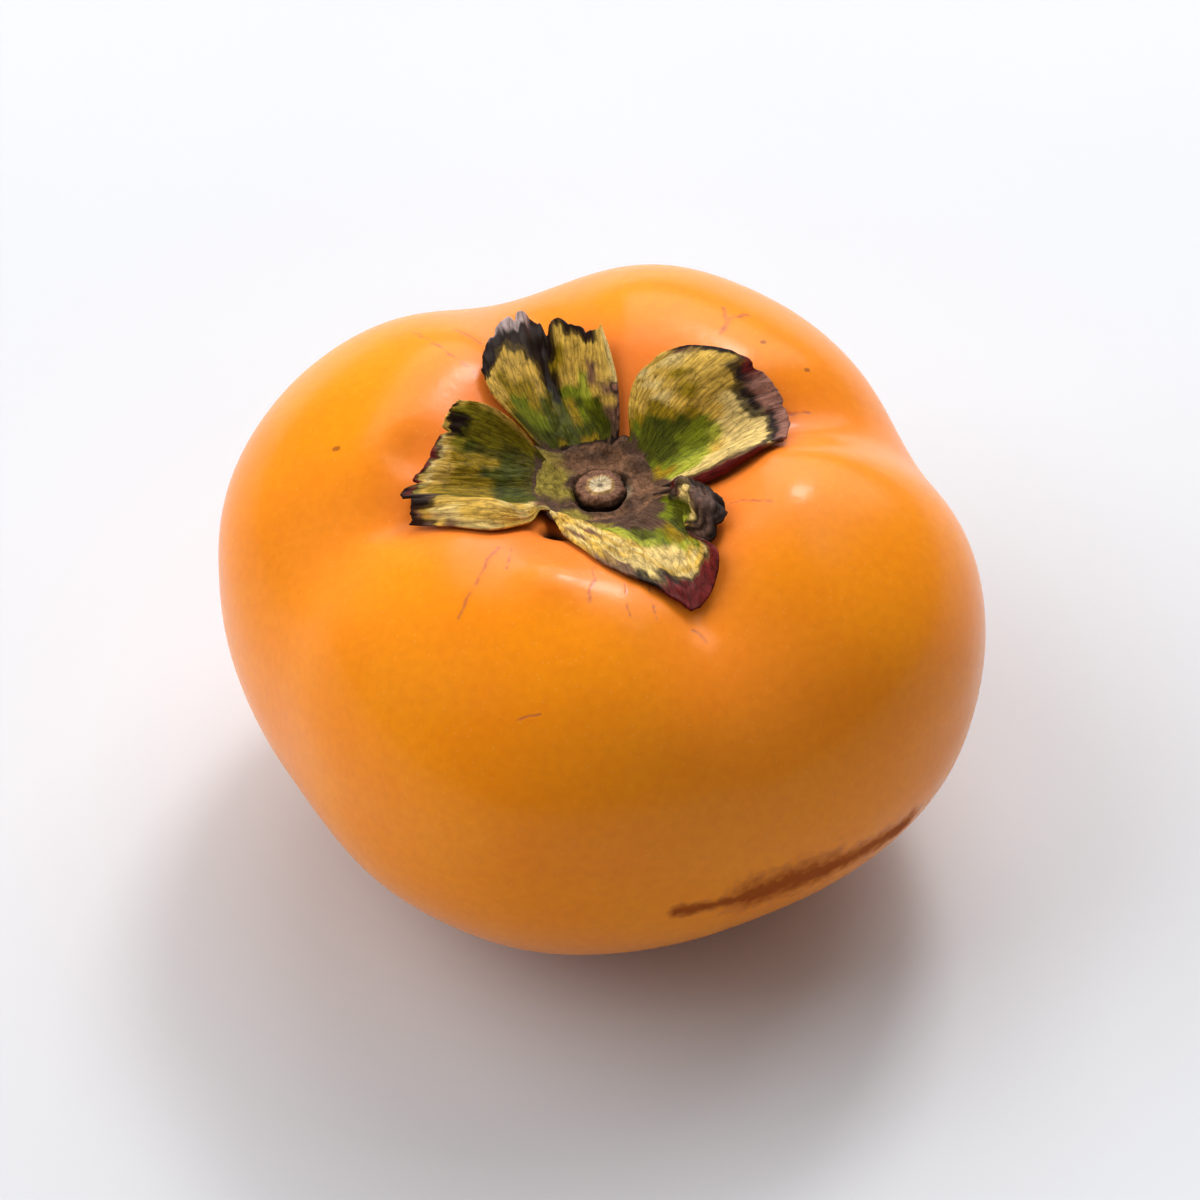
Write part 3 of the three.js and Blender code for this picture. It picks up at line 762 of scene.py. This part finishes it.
def stub():
    bm = bmesh.new()
    foot, r, h = DISC_TOP - 0.35, STUB_RADIUS, STUB_HEIGHT + 0.35
    outline = ((0, foot), (r * 0.5, foot), (r, foot), (r * 1.05, foot + h * 0.25), (r * 1.02, foot + h * 0.5),
               (r * 0.93, foot + h * 0.72), (r * 0.76, foot + h * 0.88), (r * 0.6, foot + h * 0.93),
               (r * 0.5, foot + h), (r * 0.42, foot + h * 0.99), (r * 0.3, foot + h * 0.97),
               (r * 0.15, foot + h * 0.95), (0, foot + h * 0.93))
    turned(bm, rounded(outline, 71), 110)
    places = places_of(bm)
    radius = np.hypot(places[:, 0], places[:, 1])
    azimuth = np.degrees(np.arctan2(places[:, 1], places[:, 0])) % 360
    sheet_map(bm, azimuth / 360, places[:, 2] / h, STUB_ROUND, h)
    uneven = radius * (1 + 0.12 * wave(places, 0.9, 24))
    # The stalk's sides carry painted shade: dark at the foot, lighter up to the shoulder.
    paint_tint(bm, bark_and_shade_tints(uneven, places[:, 2], foot + h * 0.35, foot + h * 0.85, r * 0.46))
    grip = smooth(places[:, 2], foot + 0.1, foot + 0.6)
    places[:, :2] *= (1 + grip * (0.12 * wave(places, 1.7, 21) + 0.06 * wave(places, 0.5, 22)))[:, None]
    places[:, 2] += grip * (0.2 * wave(places, 1.1, 23) + 0.07 * wave(places, 0.35, 25))
    places[:, 0] += STUB_CENTRE
    put(bm, drape(places))
    return finished(bm, "stalk_end", "stem_stub", "stalk", dried_tissue("dry cut stalk", 0.72, 0.35, 0.5, 0.15))


def style_tip():
    bm = bmesh.new()
    roof, r = REST_LEVEL + DIMPLE_DEPTH, STYLE_RADIUS
    tip = roof - GAP - STYLE_LENGTH
    outline = ((0, tip), (r * 0.3, tip + 0.05), (r * 0.5, tip + 0.3), (r * 0.62, tip + 0.8),
               (r * 0.85, tip + 1.15), (r, roof - 0.25), (r * 0.8, roof + 0.1), (0, roof + 0.15))
    turned(bm, rounded(outline, 33), 40)
    places = places_of(bm)
    azimuth = np.degrees(np.arctan2(places[:, 1], places[:, 0])) % 360
    sheet_map(bm, azimuth / 360, (places[:, 2] - tip) / 2, STYLE_ROUND, 2)
    paint_tint(bm, np.tile(linear(TISSUES["n"])[:3], (len(places), 1)))
    places[:, :2] *= (1 + 0.18 * wave(places, 0.6, 31))[:, None]
    put(bm, places)
    return finished(bm, "blossom_tip", "style_remnant", "dry_tip",
                    dried_tissue("dry blossom tip", 0.8, 0.3, 0.4, 0.1))


# ---- Stage ----
def pale_table():
    """A matt off-white table top with the faintest unevenness."""
    material, tree, place = started("matt off-white table")
    cloud = add(tree, "ShaderNodeTexNoise", {"Vector": place, "Scale": 1 / (60 * MM), "Detail": 2})
    colour = add(tree, "ShaderNodeMix", {0: cloud, 6: linear("#ced0d4"), 7: linear("#d2d4d8")}, out=2,
                 data_type="RGBA")
    surface = add(tree, "ShaderNodeBsdfPrincipled", {"Base Color": colour, "Roughness": 0.7})
    return ended(material, tree, surface)


def floor():
    bm = bmesh.new()
    bmesh.ops.create_grid(bm, x_segments=8, y_segments=8, size=3)
    mesh = bpy.data.meshes.new("floor")
    bm.to_mesh(mesh)
    bm.free()
    mesh.materials.append(pale_table())
    top = bpy.data.objects.new("floor", mesh)
    bpy.context.collection.objects.link(top)


def softbox(name, place, size, power, shines=True):
    """A large square light at a place in metres from the fruit, turned to it.

    One that doesn't shine is kept out of reflections.
    """
    data = bpy.data.lights.new(name, "AREA")
    data.shape = "SQUARE"
    data.size = size
    data.energy = power
    light = bpy.data.objects.new(name, data)
    light.location = AXIS + Vector(place)
    light.rotation_mode = "QUATERNION"
    light.rotation_quaternion = (-Vector(place)).to_track_quat("-Z", "Y")
    light.visible_glossy = shines
    bpy.context.collection.objects.link(light)


def studio():
    softbox("back_window", (0.4, 1.4, 1.3), 2.0, 32)
    softbox("bright_pane", (0.45, 1.35, 1.4), 0.45, 15)
    softbox("left_window", (-1.8, 0.35, 1.5), 2.6, 52, shines=False)
    world = bpy.data.worlds.new("studio")
    world.use_nodes = True
    background = world.node_tree.nodes["Background"]
    background.inputs["Color"].default_value = (1, 1, 1, 1)
    background.inputs["Strength"].default_value = 0.27
    bpy.context.scene.world = world
    bpy.context.scene.view_settings.view_transform = "Standard"


def camera():
    tilt, roll = math.radians(CAMERA_ELEVATION), math.radians(CAMERA_ROLL)
    back = Vector((0, -math.cos(tilt), math.sin(tilt)))
    level_up = Vector((0, math.sin(tilt), math.cos(tilt)))
    right = Vector((1, 0, 0)) * math.cos(roll) - level_up * math.sin(roll)
    up = Vector((1, 0, 0)) * math.sin(roll) + level_up * math.cos(roll)
    data = bpy.data.cameras.new("camera")
    data.lens = CAMERA_LENS
    data.clip_start = 0.05
    view = bpy.data.objects.new("camera", data)
    view.matrix_world = Matrix.Translation(AXIS + back * CAMERA_DISTANCE) @ Matrix(
        (right, up, back)).transposed().to_4x4()
    bpy.context.collection.objects.link(view)
    bpy.context.scene.camera = view


camera()
floor()
studio()
fruit()
disc()
stub()
style_tip()
PAPERY = dried_tissue("papery dried sepal", 0.6, 0.36, 0.2, 0.14)
LEATHERY = leathery_underside()
sepal("right_sepal", "sepal_right", RIGHT_SEPAL, RIGHT_TISSUE, 0.4, TEARS["right"], (), PAPERY, LEATHERY, 41)
sepal("back_sepal", "sepal_back", BACK_SEPAL, BACK_TISSUE, 0.7, TEARS["back"], ((0.55, 0.08, 0.35),), PAPERY,
      LEATHERY, 55)
sepal("left_sepal", "sepal_left", LEFT_SEPAL, LEFT_TISSUE, 0.7, TEARS["left"], ((0.42, 0.12, 0.15),), PAPERY,
      LEATHERY, 69)
sepal("front_sepal", "sepal_front", FRONT_SEPAL, FRONT_TISSUE, 0.6, TEARS["front"],
      ((0.3, 0.25, 0.3), (0.93, 0.1, 0.55)), PAPERY, LEATHERY, 83)
